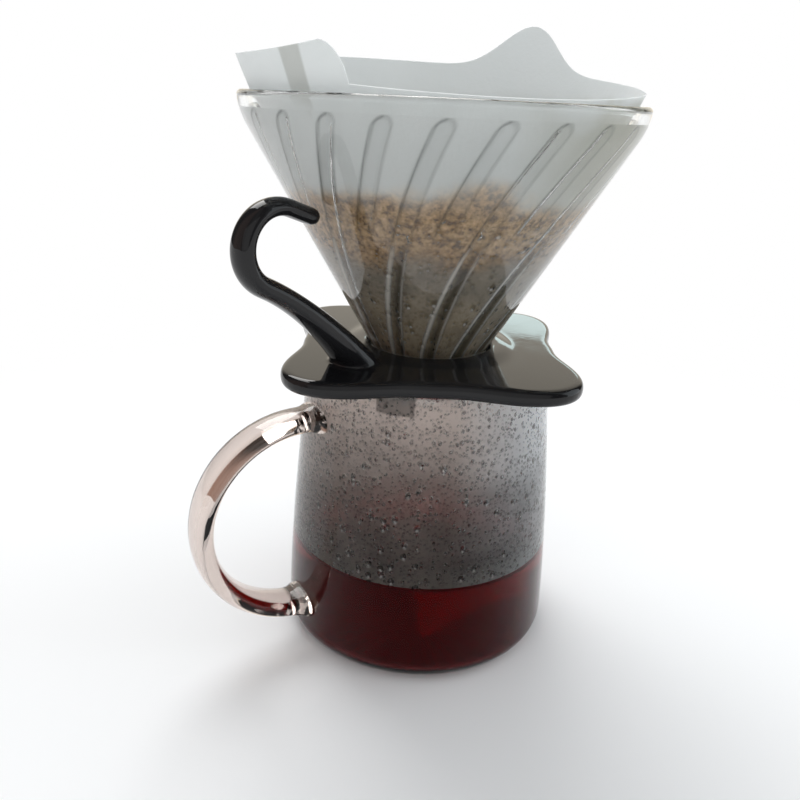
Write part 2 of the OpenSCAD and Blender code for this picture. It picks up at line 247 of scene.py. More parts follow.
# %% Spin the carafe
_, carafe_top = node_box("carafe_body")
_, coffee_top = node_box("brewed_coffee")
CARAFE_HEIGHT, BASE_R = carafe_top.z, carafe_top.y
MOUTH_R, CORNER_R, WALL, FLOOR = 37.9, 7.0, 2.0, 3.0
WALL_CURVE, CARAFE_COLUMNS, WALL_ROWS = 1.5, 144, 40


def carafe_radius(z):
    """Outside radius of the carafe's wall at a height."""
    rise = max(0, (z - CORNER_R) / (CARAFE_HEIGHT - CORNER_R))
    return BASE_R - (BASE_R - MOUTH_R) * rise**WALL_CURVE


def inside_outline(inset, floor, top, steps):
    """Outline of the space within the carafe, from the middle of the floor to the top of the wall."""
    corner = CORNER_R - inset
    low = floor + corner
    return (
        [(0, floor)]
        + arc(BASE_R - CORNER_R, low, corner, -90, 0, 10)
        + [(carafe_radius(z) - inset, z) for z in between(low, top, steps)[1:]]
    )


bead = WALL / 2
carafe_outline = (
    inside_outline(WALL, FLOOR, CARAFE_HEIGHT - bead, WALL_ROWS)
    + arc(MOUTH_R - bead, CARAFE_HEIGHT - bead, bead, 180, 0, 10)[1:-1]
    + [(carafe_radius(z), z) for z in between(CARAFE_HEIGHT - bead, CORNER_R, WALL_ROWS)]
    + arc(BASE_R - CORNER_R, CORNER_R, CORNER_R, 0, -90, 10)[1:]
    + [(0, 0)]
)
carafe = lathe("carafe_glass_body", carafe_outline, CARAFE_COLUMNS)

# %% [markdown]
# ## The pouring lip
# A glass worker draws the lip out of the hot rim. Moving the rim's corners outwards does the same and keeps the wall
# even, where a spout joined on would leave a seam.

# %% Draw out the pouring lip
LIP_REACH, LIP_DEPTH, LIP_ANGLE, LIP_CURVE = carafe_top.x - MOUTH_R - 1, 14.0, 12.0, 1.5
for corner in carafe.data.vertices:
    x, y, z = corner.co / MM
    lift = smooth_step((z - CARAFE_HEIGHT + LIP_DEPTH) / LIP_DEPTH) ** LIP_CURVE
    pull = max(0, LIP_REACH) * lift * exp(-((degrees(atan2(y, x)) / LIP_ANGLE) ** 2))
    corner.co.x += pull * MM
print("lip drawn out by", round(LIP_REACH, 1), "mm")

# %% [markdown]
# ## The glass handle
# The handle is a flattened glass rod, bent into a half loop and fused to the wall while hot, so it spreads at both
# ends. A curve with a bevel has one section all along, so an oval ring is swept round the half loop instead, and near
# the wall it grows into the fused pads.

# %% Sweep the carafe's handle
STRAP_W, STRAP_T, STRAP_LOW, STRAP_DROP = 12.5, 6.6, 14.4, 14.4
PAD_GROWTH, PAD_LENGTH, SINK = 0.3, 4.5, 0.3
OVAL_POINTS, OVAL_FLATNESS, LOOP_STEPS = 36, 0.8, 64
strap_high = CARAFE_HEIGHT - STRAP_DROP
loop_r = (strap_high - STRAP_LOW) / 2
loop_x, loop_z = -carafe_radius(STRAP_LOW), (STRAP_LOW + strap_high) / 2
upper_x = -carafe_radius(strap_high) + SINK


def oval(centre, out, width, thickness):
    """Ring of a flat oval: its width lies along Y, its thickness along a direction in the XZ plane."""
    turn = [2 * pi * i / OVAL_POINTS for i in range(OVAL_POINTS)]
    flat = [(abs(cos(a)) ** OVAL_FLATNESS * (1 if cos(a) > 0 else -1), sin(a)) for a in turn]
    return [centre + out * (thickness / 2 * t) + Vector((0, width / 2 * w, 0)) for t, w in flat]


def strap_ring(x, z, out, from_wall):
    growth = 1 + PAD_GROWTH * (1 - smooth_step(from_wall / PAD_LENGTH))
    return oval(Vector((x, 0, z)), out, STRAP_W * growth, STRAP_T * growth)


strap_rings = [strap_ring(loop_x + SINK, STRAP_LOW, Vector((0, 0, -1)), 0)]
for a in between(0, pi, LOOP_STEPS):
    out = Vector((-sin(a), 0, -cos(a)))
    near_wall = loop_r * sin(a) if a < pi / 2 else loop_r * sin(a) + upper_x - loop_x
    strap_rings.append(strap_ring(loop_x + loop_r * out.x, loop_z + loop_r * out.z, out, near_wall))
for x in between(loop_x, upper_x, 5)[1:]:
    strap_rings.append(strap_ring(x, strap_high, Vector((0, 0, 1)), upper_x - x))
handle = sweep("carafe_glass_handle", strap_rings)

# %% [markdown]
# ## Clear glass
# Clear glass needs no colour of its own: what it shows is bent light. Only the handle is tinted brownish, a painted
# reflection of the room. A breath of smear in the roughness and a slow waviness in the surface keep it from looking
# like perfect crystal.

# %% Clear glass finish
# The handle's tint is painted reflection: it stands for the brown room that the clear handle mirrors.
GLASS_TINT, HANDLE_REFLECTION_TINT = (0.96, 0.985, 0.98, 1), (0.74, 0.64, 0.59, 1)
GLASS_IOR, WATER_IOR = 1.47, 1.33


def clear_glass(name, tint, wave_scale, wave, mirror):
    """Glass with a waviness of some size and strength. mirror is how much it reflects when seen straight on."""
    finish, tree, shader, place = new_finish(name)
    smear = ramp(tree, noise_value(tree, place, 30, 4, 0.6), [(0.45, 0.0), (0.75, 0.05)])
    ripple = bumps(tree, noise_value(tree, place, wave_scale, 1), wave, 0.5)
    set_inputs(shader, Base_Color=tint, Roughness=smear, Normal=ripple, IOR=GLASS_IOR, Transmission_Weight=1.0)
    set_inputs(shader, Specular_Tint=(mirror, mirror, mirror, 1))
    return finish


# The handle's brownish tint is painted reflection, not a colour of the glass.
handle_clear = clear_glass("handle_clear_glass", HANDLE_REFLECTION_TINT, 60, 0.3, 1.0)
give(handle, handle_clear)
settle(handle, "carafe", "carafe_glass", "carafe_handle")

# %% [markdown]
# ## Steam on the inside
# Above the coffee the inner wall is fogged: a fine mist high up, then drops that crowd each other, and low down big
# drops that have run together. It is the glass surface itself that changes, so the inner faces get a finish of their
# own: milky and rough between the drops, clear and curved in them. Cell patterns of three sizes give the drops. Light
# is painted into this finish: the mist darkens low down as painted shade for the dark coffee behind it, the drops are
# tinted dark for what they would show, each drop has a painted glint, and one side takes painted cool window light.
# Below the coffee's surface the wet wall hardly mirrors anything, because coffee bends light nearly as much as glass
# does.

# %% Drops on a wall
# The low mist colour and the drop tint are painted shade for the dark contents seen through the fog.
PAINTED_SHADE_MIST, MIST_HIGH, DROP_PAINTED_SHADE = (0.07, 0.05, 0.045), (0.85, 0.71, 0.65), (0.1, 0.085, 0.08, 1)
# The side direction and cool tone give painted cool window light on one side of the fog.
WINDOW_SIDE, PAINTED_WINDOW_LIGHT = Vector((0.84, -0.54, 0)), (1.8, 2.3, 2.7, 1)
FINE_DROPS, CROWDED_DROPS, RUN_DROPS = 1.15, 1.9, 3.8
FINE_EDGE, CROWDED_EDGE, RUN_EDGE = (0.6, 0.1), (0.42, 0.15), (0.34, 0.12)
CROWDED_SHARE, RUN_SHARE_LOW, RUN_SHARE_HIGH = 0.3, 0.26, 0.02
# The glint colour is a painted highlight.
FILM, PAINTED_GLINT, GLINT_DROP = (0.3, 0.27, 0.24, 1), (0.95, 0.92, 0.9, 1), 0.24


def span(tree, value, start, end, low=0.0, high=1.0, curve="LINEAR"):
    """Carries a value from one range to another and stops at its ends."""
    kind = {"interpolation_type": curve}
    return add_node(tree, "MapRange", kind, _0=value, _1=start, _2=end, _3=low, _4=high).outputs[0]


def unroll(tree, place, radius):
    """Lays a round wall flat: the way round it and the height, bent a little by noise. Gives the height as well."""
    parts = add_node(tree, "SeparateXYZ", Vector=place).outputs
    height = parts["Z"]
    way_round = times(tree, math_node(tree, "ARCTAN2", parts["Y"], parts["X"]), radius * MM)
    flat = add_node(tree, "CombineXYZ", X=way_round, Y=height).outputs["Vector"]
    bend = add_node(tree, "TexNoise", Vector=place, Scale=400.0).outputs["Color"]
    bent = add_node(tree, "VectorMath", {"operation": "MULTIPLY_ADD"}, _0=bend, _1=(MM, MM, 0), _2=flat)
    return bent.outputs["Vector"], height


def drop_cells(tree, flat, size):
    """Cells of a size in mm on an unrolled wall: a random number for each, the way from its middle, and where a
    painted glint sits just below its middle.
    """
    flat_cells, scale = {"voronoi_dimensions": "2D"}, 1 / (size * MM)
    cells = add_node(tree, "TexVoronoi", flat_cells, Vector=flat, Scale=scale)
    draw = add_node(tree, "SeparateColor", Color=cells.outputs["Color"]).outputs[0]
    lower = (0, GLINT_DROP * size * MM, 0)
    under = add_node(tree, "VectorMath", {"operation": "ADD"}, _0=flat, _1=lower).outputs["Vector"]
    below = add_node(tree, "TexVoronoi", flat_cells, Vector=under, Scale=scale).outputs["Distance"]
    return draw, cells.outputs["Distance"], span(tree, below, 0.2, 0.06)


# %% Fogged glass
def fogged_glass(name, radius, low_z, high_z, shaded_mist_low, mist_high, drop_shade_tint, milk, crowd, fog_top, film, window_light_share):
    """Glass with mist and drops from one height (in mm) to another; the big drops sit low. No fog above fog_top."""
    # milk is the share of light that the mist scatters back, crowd how thick the fine drops stand,
    # film how much of a pale wet film shows at the lowest edge, and the last argument how much painted cool window
    # light one side takes up
    finish, tree, shader, place = new_finish(name)
    flat, height = unroll(tree, place, radius)
    ragged = math_node(tree, "ADD", height, times(tree, noise_value(tree, place, 90, 3), 0.012))
    fog = span(tree, ragged, (fog_top + 3) * MM, (fog_top + 9) * MM, 1.0, 0.0)
    rise = span(tree, height, low_z * MM, high_z * MM)
    draw, middle, glint = drop_cells(tree, flat, FINE_DROPS)
    fine_share = span(tree, draw, 0.2, 0.8, 0.0, crowd)
    # Fine drops: painted shade in their middles, and beads, a painted glint just below each.
    fine = times(tree, span(tree, middle, *FINE_EDGE), fine_share)
    beads = times(tree, times(tree, glint, fine_share), 1.1)
    shade = math_node(tree, "ADD", span(tree, fine, 0.0, 1.0, 1.15, 0.25), beads)
    draw, middle, glint = drop_cells(tree, flat, CROWDED_DROPS)
    stands = math_node(tree, "LESS_THAN", draw, CROWDED_SHARE)
    crowded = times(tree, span(tree, middle, *CROWDED_EDGE), stands)
    sparkle = times(tree, times(tree, glint, stands), 0.6)
    draw, middle, glint = drop_cells(tree, flat, RUN_DROPS)
    stands = math_node(tree, "LESS_THAN", draw, span(tree, rise, 0.0, 1.0, RUN_SHARE_LOW, RUN_SHARE_HIGH))
    run = times(tree, span(tree, middle, *RUN_EDGE), stands)
    sparkle = math_node(tree, "MAXIMUM", sparkle, times(tree, glint, stands))
    sparkle = times(tree, sparkle, fog)
    clear = math_node(tree, "MAXIMUM", times(tree, crowded, 0.6), run)
    drops = math_node(tree, "MAXIMUM", times(tree, fine, 0.3), clear)
    # One side gets painted cool window light: the mist there is brightened, bluer, and scatters more.
    window_light = add_node(tree, "VectorMath", {"operation": "DOT_PRODUCT"}, _0=place, _1=WINDOW_SIDE).outputs["Value"]
    window_light = span(tree, window_light, 0.2 * radius * MM, radius * MM, 0.0, window_light_share)
    beaded = bumps(tree, times(tree, drops, fog), 1.0, 0.6)
    # The mist is painted darker low down, painted shade for the dark contents seen through it, and pale high up.
    patchy = math_node(tree, "ADD", rise, times(tree, noise_value(tree, place, 60, 2), 0.5))
    mid = [low + 0.4 * (high - low) for low, high in zip(shaded_mist_low, mist_high)]
    mist = ramp(tree, minus(tree, patchy, 0.25), [(0.0, shaded_mist_low), (0.5, mid), (0.9, mist_high)])
    mist = mix_colour(tree, span(tree, rise, 0.0, 0.14, film, 0.0), mist, FILM)
    mist = mix_colour(tree, window_light, mist, toned(tree, mist, PAINTED_WINDOW_LIGHT))
    speckled = toned(tree, mist, add_node(tree, "CombineColor", _0=shade, _1=shade, _2=shade).outputs[0])
    # Drops are tinted dark: painted shade for the dark things that clear drops would show.
    tint = mix_colour(tree, fog, (1, 1, 1, 1), mix_colour(tree, clear, speckled, drop_shade_tint))
    # Glints are painted highlights: pale colour and more scattering just below each drop's middle.
    tint = mix_colour(tree, sparkle, tint, PAINTED_GLINT)
    misty = times(tree, fog, minus(tree, 1.0, clear))
    rough = span(tree, misty, 0.0, 1.0, 0.04, 2.25 * milk * milk + 0.04)
    scattered = times(tree, misty, span(tree, window_light, 0.0, 1.0, milk, 1.8 * milk))
    scattered = math_node(tree, "MAXIMUM", scattered, times(tree, sparkle, 0.6))
    through = minus(tree, 1.0, scattered)
    set_inputs(shader, Base_Color=tint, Roughness=rough, Normal=beaded, IOR=WATER_IOR, Transmission_Weight=through)
    return finish


# %% Glass of the carafe
FOG_LINE = coffee_top.z + 0.3
carafe_fogged = fogged_glass(
    "carafe_fogged_glass", BASE_R, FOG_LINE, CARAFE_HEIGHT, PAINTED_SHADE_MIST, MIST_HIGH, DROP_PAINTED_SHADE,
    milk=0.4, crowd=1.0, fog_top=CARAFE_HEIGHT, film=0.6, window_light_share=1.0,
)
carafe_clear = clear_glass("carafe_clear_glass", GLASS_TINT, 35, 0.25, 0.15)
carafe_wet = clear_glass("carafe_wet_glass", GLASS_TINT, 35, 0.1, 0.0)
carafe_filled = clear_glass("carafe_filled_glass", GLASS_TINT, 35, 0.25, 0.05)
give(carafe, carafe_clear, carafe_fogged, carafe_wet, carafe_filled)
for face in carafe.data.polygons:
    middle = face.center / MM
    across = middle.x * face.normal.x + middle.y * face.normal.y
    if across < -0.01 and FOG_LINE < middle.z < CARAFE_HEIGHT - bead:
        face.material_index = 1
    elif middle.z < FOG_LINE and (across < -0.01 or (face.normal.z > 0.5 and middle.z > FLOOR - 1)):
        face.material_index = 2
    elif middle.z < FOG_LINE:
        face.material_index = 3
settle(carafe, "carafe", "carafe_glass", "carafe_body")
print("fogged, wet and filled faces:", [sum(f.material_index == i for f in carafe.data.polygons) for i in (1, 2, 3)])

# %% [markdown]
# ## The coffee
# Coffee looks black where it is deep and red where it is thin. A clear liquid that swallows light along the way gives
# both by itself, so the depth is in the finish and not painted on. The surface climbs a little at the wall. The fill
# reaches a hair into the wall, so that no film of air is left there to mirror the room.

# %% Pour the coffee
WETTING, MENISCUS, CLIMB, COFFEE_COLUMNS = 0.12, 0.5, 0.9, 128
COFFEE_RED, COFFEE_DEEP, COFFEE_STRENGTH = (0.55, 0.035, 0.045, 1), (0.82, 0.1, 0.1, 1), 110.0
coffee_wall = WALL - WETTING
coffee_r = carafe_radius(coffee_top.z) - coffee_wall
surface = [(coffee_r - d, coffee_top.z - MENISCUS * (1 - exp(-d / CLIMB))) for d in (0.3, 0.8, 1.6, 3, 6, 14, 28)]
coffee = lathe(
    "brewed_coffee_fill",
    inside_outline(coffee_wall, FLOOR - WETTING, coffee_top.z, 16) + surface + [(0, coffee_top.z - MENISCUS)],
    COFFEE_COLUMNS,
)
coffee_finish, tree, shader, place = new_finish("brewed_coffee")
film = ramp(tree, noise_value(tree, place, 60, 3), [(0.4, 0.02), (0.8, 0.08)])
set_inputs(shader, Base_Color=COFFEE_RED, Roughness=film, IOR=WATER_IOR, Transmission_Weight=0.9)
set_inputs(shader, Specular_Tint=(0.05, 0.05, 0.05, 1))
swallow = add_node(tree, "VolumeAbsorption", Color=COFFEE_DEEP, Density=COFFEE_STRENGTH)
tree.links.new(swallow.outputs["Volume"], tree.nodes["Material Output"].inputs["Volume"])
give(coffee, coffee_finish)
settle(coffee, "carafe", "coffee", "brewed_coffee")

# %% [markdown]
# ## The dripper's glass cone
# The cone is pressed glass: smooth outside, with spiral ribs inside that hold the paper off the wall, and a neck with
# three lugs below. The wall is spun first, with a column of corners for every part of a rib.

# %% Spin the cone's wall
cone_low, cone_top = node_box("dripper_cone")
ring_low, ring_top = node_box("retaining_ring")
RIM_Z, RIM_R, NECK_END = cone_top.z, 57.6, cone_low.z
DRIPPER_TURN = 15.0
SEAT_GAP, FIT_GAP = 0.2, 0.3
PLATE_T, PLATE_Z = 4.8, CARAFE_HEIGHT + SEAT_GAP
PLATE_TOP = PLATE_Z + PLATE_T
CONE_RISE, CONE_FOOT_R, BEND_R, CONE_WALL = RIM_Z - PLATE_TOP, 18.7, 18.0, 2.6
NECK_R, OUTLET_R, SHOULDER_SINK = 16.6, 10.5, 0.8
LUG_H, LUG_T, LUG_ANGLE = 1.3, 2.5, 36.0
bend_x = RIM_R - BEND_R - CONE_FOOT_R
cone_angle = atan(bend_x / CONE_RISE) + asin(BEND_R / hypot(bend_x, CONE_RISE))
bend_depth = BEND_R * sin(cone_angle)
lug_z = ring_low.z - FIT_GAP - LUG_T


def flank_radius(depth):
    """Outside radius of the cone's straight flank at a depth below the rim."""
    return RIM_R - BEND_R * (1 - cos(cone_angle)) - (depth - bend_depth) * tan(cone_angle)


def glass_radius(depth):
    """Inside radius of the cone between the ribs."""
    r = BEND_R - CONE_WALL
    if depth < r * sin(cone_angle):
        return RIM_R - BEND_R + sqrt(r * r - depth * depth)
    return max(OUTLET_R, flank_radius(depth) - CONE_WALL / cos(cone_angle))


outlet_depth = bend_depth + (flank_radius(bend_depth) - CONE_WALL / cos(cone_angle) - OUTLET_R) / tan(cone_angle)
shoulder_z = PLATE_TOP - SHOULDER_SINK
cone_bead = CONE_WALL / 2
inner_depths = between(outlet_depth, 12, 56) + between(11.5, cone_bead, 24)
cone_outline = (
    [(OUTLET_R, NECK_END), (OUTLET_R, NECK_END + 0.5)]
    + [(glass_radius(d), RIM_Z - d) for d in inner_depths]
    + arc(RIM_R - cone_bead, RIM_Z - cone_bead, cone_bead, 165, 0, 10)
    + [(r, z) for r, z in arc(RIM_R - BEND_R, RIM_Z, BEND_R, 0, -degrees(cone_angle), 14) if z < RIM_Z - cone_bead]
    + [(flank_radius(d), RIM_Z - d) for d in between(bend_depth, RIM_Z - shoulder_z, 20)[1:]]
    + [(NECK_R, shoulder_z), (NECK_R, lug_z + LUG_T + 0.05), (NECK_R, lug_z + LUG_T), (NECK_R, lug_z)]
    + [(NECK_R, lug_z - 0.05), (NECK_R, NECK_END + 0.3), (NECK_R - 0.3, NECK_END)]
)
RIB_COUNT, RIB_COLUMNS = 24, 26
cone = lathe("dripper_glass_cone", cone_outline, RIB_COUNT * RIB_COLUMNS)

# %% [markdown]
# ## Ribs and lugs
# Ribs could be swept one by one and joined, but seams show in glass. So each level of the wall is turned a little,
# which makes the columns run along the spiral, and the inner corners are pushed in where a rib runs. Each corner
# keeps two marks of painted light for the finish: how much painted shade the rib has there, and, where the paper
# behind is wet, how much painted highlight.

# %% Press the ribs and lugs
RIB_W, RIB_H, RIB_START, RIB_SHORT_END, RIB_TURN, RIB_PHASE = 5.2, 1.6, 4.0, 36.0, 33.0, 13.7
WET_FROM = 32.0
rib_pitch = 360 / RIB_COUNT
marks = cone.data.color_attributes.new("rib_shade_and_highlight", "FLOAT_COLOR", "POINT")


def rib_inside(depth, aside):
    """How far a spot lies within a rib's outline: straight sides and a round nose. Negative off the rib."""
    return RIB_W / 2 - hypot(aside, max(0, RIB_START + RIB_W / 2 - depth))


def rib_height(depth, k, inside):
    """How far rib k stands off the glass. Long and short ribs take turns."""
    end = outlet_depth - RIB_W / 2 if k % 2 == 0 else RIB_SHORT_END
    return RIB_H * smooth_step(2.0 * inside / RIB_W) * smooth_step((end - depth) / (1.5 * RIB_W))


def hump(x, middle, width):
    return exp(-(((x - middle) / width) ** 2))


def rib_shade_and_highlight(depth, inside, aside, stand):
    """Painted light on a rib: painted shade along its edges, and where the paper behind is wet, painted highlights
    along both edges and painted shade on a flank between them.
    """
    wet = smooth_step((depth - WET_FROM) / 10)
    edge = hump(inside, 0.3, 0.4) * (1 if aside < 0 else 0.6) + 0.12 * smooth_step(inside)
    flank = hump(aside, 0.8, 1.6)
    rib_highlight = hump(aside, 0.7 - RIB_W / 2, 0.6) + 0.55 * hump(aside, RIB_W / 2 - 0.6, 0.45)
    return min(1, edge * (1 - wet) + 0.9 * flank * wet) * stand, rib_highlight * wet * stand


for corner in cone.data.vertices:
    x, y, z = corner.co / MM
    r, a, depth = hypot(x, y), degrees(atan2(y, x)), RIM_Z - z
    share = max(0, depth - RIB_START) / (CONE_RISE - RIB_START)
    turned = a - RIB_TURN * min(share, 1.15)
    if r < glass_radius(max(depth, cone_bead)) + 0.05 and depth < outlet_depth:
        k = round((a - RIB_PHASE) / rib_pitch)
        aside = radians(a - RIB_PHASE - k * rib_pitch) * r
        inside = rib_inside(depth, aside)
        dark, rib_highlight = rib_shade_and_highlight(depth, inside, aside, min(1, rib_height(depth, k % RIB_COUNT, RIB_W / 2) / RIB_H))
        marks.data[corner.index].color = (dark, rib_highlight, 0, 1)
        r -= rib_height(depth, k % RIB_COUNT, inside)
    if abs(r - NECK_R) < 0.01 and lug_z - 0.01 <= z <= lug_z + LUG_T + 0.01:
        r += LUG_H if abs((turned + 60) % 120 - 60) < LUG_ANGLE / 2 else 0
    turned = radians(turned + DRIPPER_TURN)
    corner.co = Vector((r * cos(turned), r * sin(turned), z)) * MM
print("ribs:", RIB_COUNT, "cone half angle", round(degrees(cone_angle), 1))

# %% [markdown]
# ## The cone's finish
# Outside the cone is clear. Inside it is fogged by steam, less than the carafe is, and the marks paint the ribs'
# shade and highlights.

# %% Glass of the cone
dripper_clear = clear_glass("dripper_clear_glass", (0.985, 0.995, 0.99, 1), 45, 0.3, 1.0)
# The low cone mist and the cone's drop tint are painted shade.
CONE_MIST, CONE_SHADED_MIST, CONE_DROP_SHADE, FOG_DEPTH = (0.92, 0.92, 0.9), (0.86, 0.85, 0.81), (0.42, 0.41, 0.38, 1), 28.0
dripper_fogged = fogged_glass(
    "dripper_fogged_glass", RIM_R / 2, shoulder_z, RIM_Z - 20, CONE_SHADED_MIST, CONE_MIST, CONE_DROP_SHADE,
    milk=0.12, crowd=0.5, fog_top=RIM_Z - FOG_DEPTH, film=0.0, window_light_share=0.25,
)
# Rib colours: painted shade and a painted highlight.
RIB_SHADE, RIB_HIGHLIGHT_TINT, RIB_IOR = (0.17, 0.175, 0.17, 1), (0.9, 0.88, 0.83, 1), 1.13


def show_ribs(finish):
    """Paints light onto the ribs in the fogged glass: painted shade along their edges, painted highlights where the
    paper behind is wet.
    """
    tree = finish.node_tree
    shader = tree.nodes["Principled BSDF"]
    tint, through = (shader.inputs[name].links[0].from_socket for name in ("Base Color", "Transmission Weight"))
    drawn = add_node(tree, "Attribute", {"attribute_name": "rib_shade_and_highlight"}).outputs["Color"]
    dark, rib_highlight, _ = add_node(tree, "SeparateColor", Color=drawn).outputs
    tint = mix_colour(tree, rib_highlight, mix_colour(tree, dark, tint, RIB_SHADE), RIB_HIGHLIGHT_TINT)
    through = math_node(tree, "SUBTRACT", through, times(tree, rib_highlight, 0.65), clamp=True)
    set_inputs(shader, Base_Color=tint, Transmission_Weight=through, IOR=RIB_IOR)


show_ribs(dripper_fogged)
give(cone, dripper_clear, dripper_fogged)
for face in cone.data.polygons:
    middle = face.center / MM
    across = middle.x * face.normal.x + middle.y * face.normal.y
    face.material_index = int(across < 0 and RIB_START < RIM_Z - middle.z < outlet_depth)
settle(cone, "dripper", "dripper_glass", "dripper_cone")

# %% [markdown]
# ## The dripper's base
# The base is one moulding: a plate with four lobes, a low collar round the glass, a hook handle that grows out of the
# plate, and four tabs that keep it centred in the carafe's mouth. Plate and collar are spun as a round disc and then
# drawn out to the lobes, so that the rounded edge follows the outline by itself.

# %% Plate and collar
LOBE_R, NOTCH_R, LOBE_SHAPE, LOBE_COUNT, EDGE_R = 55.0, 39.8, 1.5, 4, 1.9
COLLAR_H, COLLAR_T, COLLAR_SWEEP, COLLAR_LIP, COLLAR_CHAMFER = 0.9, 2.8, 7.0, 0.8, 0.4
PLATE_COLUMNS, LOBE_START = 288, 3
round_r = (LOBE_R + NOTCH_R) / 2
seat_r = CONE_FOOT_R + FIT_GAP
collar_in = flank_radius(CONE_RISE - COLLAR_H) + FIT_GAP
collar_out = collar_in + COLLAR_T
gasket_low, gasket_top = node_box("cone_gasket")


def plate_radius(a):
    """Radius of the lobed plate at an angle in degrees."""
    return NOTCH_R + (LOBE_R - NOTCH_R) * ((1 + cos(radians(LOBE_COUNT * a))) / 2) ** LOBE_SHAPE


collar_sweep = [
    (collar_out - COLLAR_LIP + COLLAR_SWEEP * t, PLATE_TOP + COLLAR_H * (1 + cos(pi * t)) / 2)
    for t in between(0, 1, 12)
]
plate_outline = (
    [(NECK_R + FIT_GAP, PLATE_Z), (NECK_R + FIT_GAP, gasket_low.z), (seat_r, gasket_low.z), (seat_r, PLATE_TOP)]
    + [(collar_in, PLATE_TOP + COLLAR_H - COLLAR_CHAMFER), (collar_in + COLLAR_CHAMFER, PLATE_TOP + COLLAR_H)]
    + collar_sweep
    + [(r, PLATE_TOP) for r in between(collar_out + COLLAR_SWEEP, round_r - EDGE_R, 6)[1:]]
    + arc(round_r - EDGE_R, PLATE_TOP - EDGE_R, EDGE_R, 90, 0, 8)[1:]
    + arc(round_r - EDGE_R, PLATE_Z + EDGE_R, EDGE_R, 0, -90, 8)
    + [(r, PLATE_Z) for r in between(round_r - EDGE_R, NECK_R + 2, 8)[1:]]
)
base = lathe("dripper_moulded_base", plate_outline, PLATE_COLUMNS)
lobe_start, lobe_full = collar_out + LOBE_START, round_r - EDGE_R
for corner in base.data.vertices:
    x, y, z = corner.co / MM
    r, a = hypot(x, y), atan2(y, x)
    share = min(1, max(0, (r - lobe_start) / (lobe_full - lobe_start)))
    stretch = (plate_radius(degrees(a)) - round_r) * share
    corner.co = Vector(((r + stretch) * cos(a), (r + stretch) * sin(a), z)) * MM

# %% [markdown]
# ## The hook handle
# The handle is a tapering bar: it rises from the plate in a slow curve, bends round a finger and ends in a blunt tip.
# A sweep suits it, with a list of stations that gives the place, the direction and the fullness of each ring.

# %% Hook handle
HOOK_FROM, HOOK_TO, HOOK_R, HOOK_Z, HOOK_TIP, HOOK_GAP = -64.0, 110.0, 10.4, 35.2, 7.0, 3.4
GRIP_W, GRIP_T, GRIP_ROOT, GRIP_ROOT_X, TIP_TAPER = 8.4, 5.8, 1.9, 30.0, 0.8
ARM_STEPS, BEND_STEPS, TIP_ROUNDING = 24, 30, (20, 40, 58, 74, 86)
END_PULL, ROOT_PULL, ROOT_LEAN = 1.2, 0.3, Vector((-2, 2))


def heading(a):
    """Direction at right angles to a radius at an angle in degrees."""
    return Vector((-sin(radians(a)), cos(radians(a))))


def spoke(a):
    return Vector((cos(radians(a)), sin(radians(a))))


tip_off = HOOK_R * spoke(HOOK_TO) + (HOOK_TIP + GRIP_T / 2 * TIP_TAPER) * heading(HOOK_TO)
hook_centre = Vector((flank_radius(CONE_RISE - HOOK_Z - tip_off.y) + HOOK_GAP - tip_off.x, HOOK_Z))
arm_end = hook_centre + HOOK_R * spoke(HOOK_FROM)
arm_end_pull = arm_end - END_PULL * HOOK_R * heading(HOOK_FROM)
arm_root = Vector((GRIP_ROOT_X, -PLATE_T / 2))
arm_root_pull = arm_root + ROOT_PULL * (arm_end - arm_root) + ROOT_LEAN
stations = []
for t in between(0, 1, ARM_STEPS)[:-1]:
    u = 1 - t
    at = u**3 * arm_root + 3 * t * u * u * arm_root_pull + 3 * t * t * u * arm_end_pull + t**3 * arm_end
    way = u * u * (arm_root_pull - arm_root) + 2 * t * u * (arm_end_pull - arm_root_pull)
    way += t * t * (arm_end - arm_end_pull)
    stations.append((at, way.normalized(), 1 + (GRIP_ROOT - 1) * u * u))
for i, a in enumerate(between(HOOK_FROM, HOOK_TO, BEND_STEPS)):
    stations.append((hook_centre + HOOK_R * spoke(a), heading(a), 1 - (1 - TIP_TAPER) * i / BEND_STEPS))
tip_start, tip_way = stations[-1][0], heading(HOOK_TO)
stations.append((tip_start + HOOK_TIP * tip_way, tip_way, TIP_TAPER))
for a in TIP_ROUNDING:
    along = HOOK_TIP + GRIP_T / 2 * TIP_TAPER * sin(radians(a))
    stations.append((tip_start + along * tip_way, tip_way, TIP_TAPER * cos(radians(a))))


def grip_ring(at, way, full):
    """Oval ring across the handle. The handle lies in the XZ plane and points to -X."""
    out = Vector((-way.y, 0, -way.x))
    return oval(Vector((-at.x, 0, PLATE_TOP + at.y)), out, GRIP_W * full, GRIP_T * full)


hook = sweep("hook_handle", [grip_ring(*station) for station in stations])

# %% [markdown]
# ## Tabs and fillets
# Four tabs hang into the carafe's mouth, each swept along an arc. All parts are then joined, remeshed and smoothed,
# which rounds off the corners where they meet. A bevel can't do that where two skins only cross.

